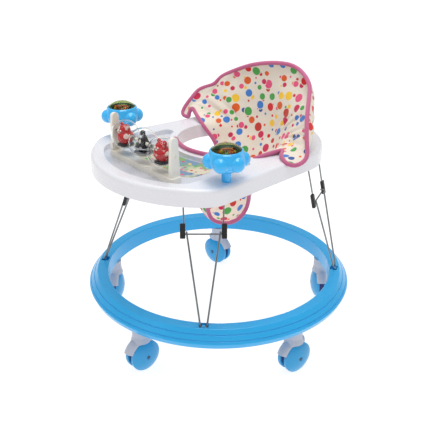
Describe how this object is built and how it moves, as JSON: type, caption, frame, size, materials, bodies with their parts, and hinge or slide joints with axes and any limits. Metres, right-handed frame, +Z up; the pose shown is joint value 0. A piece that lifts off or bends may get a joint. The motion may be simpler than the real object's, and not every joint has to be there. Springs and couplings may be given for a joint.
{
  "type": "baby walker",
  "caption": "Round baby walker: ringed base on twin-wheel swivel casters, folding wire legs, moulded play tray with spinning toys, and a padded cloth seat.",
  "frame": {"origin": "on the floor under the middle of the base ring", "axes": "+Z up, -Y towards the front of the tray, +X to the child's left seen from the front (viewer's right)"},
  "size_m": [0.5992, 0.6038, 0.588],
  "materials": {
    "blue_plastic": "glossy moulded sky-blue plastic",
    "white_plastic": "satin moulded white plastic",
    "navy_plastic": "matte navy plastic",
    "black_plastic": "matte black plastic",
    "red_plastic": "glossy red plastic with pale dots",
    "ivory_plastic": "glossy ivory plastic",
    "clear_plastic": "clear moulded plastic, modelled as glass",
    "printed_card": null,
    "steel": "bright drawn steel",
    "dotted_cloth": "cream woven cloth with coloured polka dots and pink binding"
  },
  "bodies": {
    "base": {"base_ring": "blue_plastic", "leg_anchors": "blue_plastic"},
    "tray": {"flower_stems": "blue_plastic", "seat_back": "dotted_cloth", "seat_sling": "dotted_cloth", "toy_bar_frame": "ivory_plastic", "toy_bar_rod": "steel", "tray_brackets": "white_plastic", "tray_picture": "printed_card", "tray_shell": "white_plastic"},
    "lower_leg_front_right": {"leg_lower_wire_front_right": "steel"},
    "upper_leg_front_right": {"leg_upper_wire_front_right": "steel", "leg_sleeves_front_right": "black_plastic"},
    "lower_leg_back_right": {"leg_lower_wire_back_right": "steel"},
    "upper_leg_back_right": {"leg_upper_wire_back_right": "steel", "leg_sleeves_back_right": "black_plastic"},
    "lower_leg_back_left": {"leg_lower_wire_back_left": "steel"},
    "upper_leg_back_left": {"leg_upper_wire_back_left": "steel", "leg_sleeves_back_left": "black_plastic"},
    "lower_leg_front_left": {"leg_lower_wire_front_left": "steel"},
    "upper_leg_front_left": {"leg_upper_wire_front_left": "steel", "leg_sleeves_front_left": "black_plastic"},
    "caster_front": {"caster_hood_front": "white_plastic", "caster_core_front": "navy_plastic", "caster_pins_front": "steel"},
    "inner_wheel_front": {"wheel_inner_front": "blue_plastic"},
    "outer_wheel_front": {"wheel_outer_front": "blue_plastic"},
    "caster_right": {"caster_hood_right": "white_plastic", "caster_core_right": "navy_plastic", "caster_pins_right": "steel"},
    "inner_wheel_right": {"wheel_inner_right": "blue_plastic"},
    "outer_wheel_right": {"wheel_outer_right": "blue_plastic"},
    "caster_back_right": {"caster_hood_back_right": "white_plastic", "caster_core_back_right": "navy_plastic", "caster_pins_back_right": "steel"},
    "inner_wheel_back_right": {"wheel_inner_back_right": "blue_plastic"},
    "outer_wheel_back_right": {"wheel_outer_back_right": "blue_plastic"},
    "caster_back_left": {"caster_hood_back_left": "white_plastic", "caster_core_back_left": "navy_plastic", "caster_pins_back_left": "steel"},
    "inner_wheel_back_left": {"wheel_inner_back_left": "blue_plastic"},
    "outer_wheel_back_left": {"wheel_outer_back_left": "blue_plastic"},
    "caster_left": {"caster_hood_left": "white_plastic", "caster_core_left": "navy_plastic", "caster_pins_left": "steel"},
    "inner_wheel_left": {"wheel_inner_left": "blue_plastic"},
    "outer_wheel_left": {"wheel_outer_left": "blue_plastic"},
    "rattle_ball_left": {"ball_shell_left": "clear_plastic", "ball_figure_left": "red_plastic"},
    "rattle_ball_middle": {"ball_shell_middle": "clear_plastic", "ball_figure_middle": "black_plastic"},
    "rattle_ball_right": {"ball_shell_right": "clear_plastic", "ball_figure_right": "red_plastic"},
    "flower_left": {"flower_body_left": "blue_plastic", "flower_disc_left": "printed_card", "flower_dome_left": "clear_plastic"},
    "flower_right": {"flower_body_right": "blue_plastic", "flower_disc_right": "printed_card", "flower_dome_right": "clear_plastic"}
  },
  "joints": [
    {"name": "tray_fold", "type": "slide", "parent": "base", "child": "tray", "axis": [0, 0, 1], "range_m": [-0.11, 0]},
    {"name": "lower_leg_hinge_front_right", "type": "hinge", "parent": "base", "child": "lower_leg_front_right", "pos_m": [0.18756, -0.19422, 0.1377], "axis": [-0.6361, -0.7716, 0], "range_deg": [0, 42.49]},
    {"name": "upper_leg_hinge_front_right", "type": "hinge", "parent": "tray", "child": "upper_leg_front_right", "pos_m": [0.10577, -0.1268, 0.4171], "axis": [0.6361, 0.7716, 0], "range_deg": [0, 53.87]},
    {"name": "lower_leg_hinge_back_right", "type": "hinge", "parent": "base", "child": "lower_leg_back_right", "pos_m": [0.19092, 0.19092, 0.1377], "axis": [0.4848, -0.8746, 0], "range_deg": [0, 41.29]},
    {"name": "upper_leg_hinge_back_right", "type": "hinge", "parent": "tray", "child": "upper_leg_back_right", "pos_m": [0.12882, 0.1565, 0.4171], "axis": [-0.4848, 0.8746, 0], "range_deg": [0, 60.65]},
    {"name": "lower_leg_hinge_back_left", "type": "hinge", "parent": "base", "child": "lower_leg_back_left", "pos_m": [-0.19092, 0.19092, 0.1377], "axis": [0.4848, 0.8746, 0], "range_deg": [0, 41.29]},
    {"name": "upper_leg_hinge_back_left", "type": "hinge", "parent": "tray", "child": "upper_leg_back_left", "pos_m": [-0.12882, 0.1565, 0.4171], "axis": [-0.4848, -0.8746, 0], "range_deg": [0, 60.65]},
    {"name": "lower_leg_hinge_front_left", "type": "hinge", "parent": "base", "child": "lower_leg_front_left", "pos_m": [-0.18756, -0.19422, 0.1377], "axis": [-0.6361, 0.7716, 0], "range_deg": [0, 42.49]},
    {"name": "upper_leg_hinge_front_left", "type": "hinge", "parent": "tray", "child": "upper_leg_front_left", "pos_m": [-0.10577, -0.1268, 0.4171], "axis": [0.6361, -0.7716, 0], "range_deg": [0, 53.87]},
    {"name": "caster_swivel_front", "type": "hinge", "parent": "base", "child": "caster_front", "pos_m": [0.05936, -0.26339, 0.104], "axis": [0, 0, 1], "continuous": true},
    {"name": "inner_wheel_spin_front", "type": "hinge", "parent": "caster_front", "child": "inner_wheel_front", "pos_m": [0.05925, -0.2604, 0.035], "axis": [-0.9994, -0.0349, 0], "continuous": true},
    {"name": "outer_wheel_spin_front", "type": "hinge", "parent": "caster_front", "child": "outer_wheel_front", "pos_m": [0.05925, -0.2604, 0.035], "axis": [-0.9994, -0.0349, 0], "continuous": true},
    {"name": "caster_swivel_right", "type": "hinge", "parent": "base", "child": "caster_right", "pos_m": [0.2695, -0.01648, 0.104], "axis": [0, 0, 1], "continuous": true},
    {"name": "inner_wheel_spin_right", "type": "hinge", "parent": "caster_right", "child": "inner_wheel_right", "pos_m": [0.2696, -0.01349, 0.035], "axis": [-0.9994, 0.0349, 0], "continuous": true},
    {"name": "outer_wheel_spin_right", "type": "hinge", "parent": "caster_right", "child": "outer_wheel_right", "pos_m": [0.2696, -0.01349, 0.035], "axis": [-0.9994, 0.0349, 0], "continuous": true},
    {"name": "caster_swivel_back_right", "type": "hinge", "parent": "base", "child": "caster_back_right", "pos_m": [0.09013, 0.25451, 0.104], "axis": [0, 0, 1], "continuous": true},
    {"name": "inner_wheel_spin_back_right", "type": "hinge", "parent": "caster_back_right", "child": "inner_wheel_back_right", "pos_m": [0.08773, 0.25632, 0.035], "axis": [-0.6018, -0.7986, 0], "continuous": true},
    {"name": "outer_wheel_spin_back_right", "type": "hinge", "parent": "caster_back_right", "child": "outer_wheel_back_right", "pos_m": [0.08773, 0.25632, 0.035], "axis": [-0.6018, -0.7986, 0], "continuous": true},
    {"name": "caster_swivel_back_left", "type": "hinge", "parent": "base", "child": "caster_back_left", "pos_m": [-0.20834, 0.17174, 0.104], "axis": [0, 0, 1], "continuous": true},
    {"name": "inner_wheel_spin_back_left", "type": "hinge", "parent": "caster_back_left", "child": "inner_wheel_back_left", "pos_m": [-0.21129, 0.17122, 0.035], "axis": [0.1736, -0.9848, 0], "continuous": true},
    {"name": "outer_wheel_spin_back_left", "type": "hinge", "parent": "caster_back_left", "child": "outer_wheel_back_left", "pos_m": [-0.21129, 0.17122, 0.035], "axis": [0.1736, -0.9848, 0], "continuous": true},
    {"name": "caster_swivel_left", "type": "hinge", "parent": "base", "child": "caster_left", "pos_m": [-0.22644, -0.14705, 0.104], "axis": [0, 0, 1], "continuous": true},
    {"name": "inner_wheel_spin_left", "type": "hinge", "parent": "caster_left", "child": "inner_wheel_left", "pos_m": [-0.22874, -0.14512, 0.035], "axis": [-0.6428, -0.766, 0], "continuous": true},
    {"name": "outer_wheel_spin_left", "type": "hinge", "parent": "caster_left", "child": "outer_wheel_left", "pos_m": [-0.22874, -0.14512, 0.035], "axis": [-0.6428, -0.766, 0], "continuous": true},
    {"name": "rattle_ball_spin_left", "type": "hinge", "parent": "tray", "child": "rattle_ball_left", "pos_m": [-0.0655, -0.196, 0.482], "axis": [1, 0, 0], "continuous": true},
    {"name": "rattle_ball_spin_middle", "type": "hinge", "parent": "tray", "child": "rattle_ball_middle", "pos_m": [0, -0.196, 0.482], "axis": [1, 0, 0], "continuous": true},
    {"name": "rattle_ball_spin_right", "type": "hinge", "parent": "tray", "child": "rattle_ball_right", "pos_m": [0.0655, -0.196, 0.482], "axis": [1, 0, 0], "continuous": true},
    {"name": "flower_spin_left", "type": "hinge", "parent": "tray", "child": "flower_left", "pos_m": [-0.179, -0.129, 0.4569], "axis": [0, 0, 1], "continuous": true},
    {"name": "flower_spin_right", "type": "hinge", "parent": "tray", "child": "flower_right", "pos_m": [0.179, -0.129, 0.4569], "axis": [0, 0, 1], "continuous": true}
  ],
  "couplings": [
    {"joint": "lower_leg_hinge_front_right", "follows": "tray_fold", "rad_per_m": -6.7392},
    {"joint": "upper_leg_hinge_front_right", "follows": "tray_fold", "rad_per_m": -8.5436},
    {"joint": "lower_leg_hinge_back_right", "follows": "tray_fold", "rad_per_m": -6.5484},
    {"joint": "upper_leg_hinge_back_right", "follows": "tray_fold", "rad_per_m": -9.6199},
    {"joint": "lower_leg_hinge_back_left", "follows": "tray_fold", "rad_per_m": -6.5484},
    {"joint": "upper_leg_hinge_back_left", "follows": "tray_fold", "rad_per_m": -9.6199},
    {"joint": "lower_leg_hinge_front_left", "follows": "tray_fold", "rad_per_m": -6.7392},
    {"joint": "upper_leg_hinge_front_left", "follows": "tray_fold", "rad_per_m": -8.5436}
  ]
}
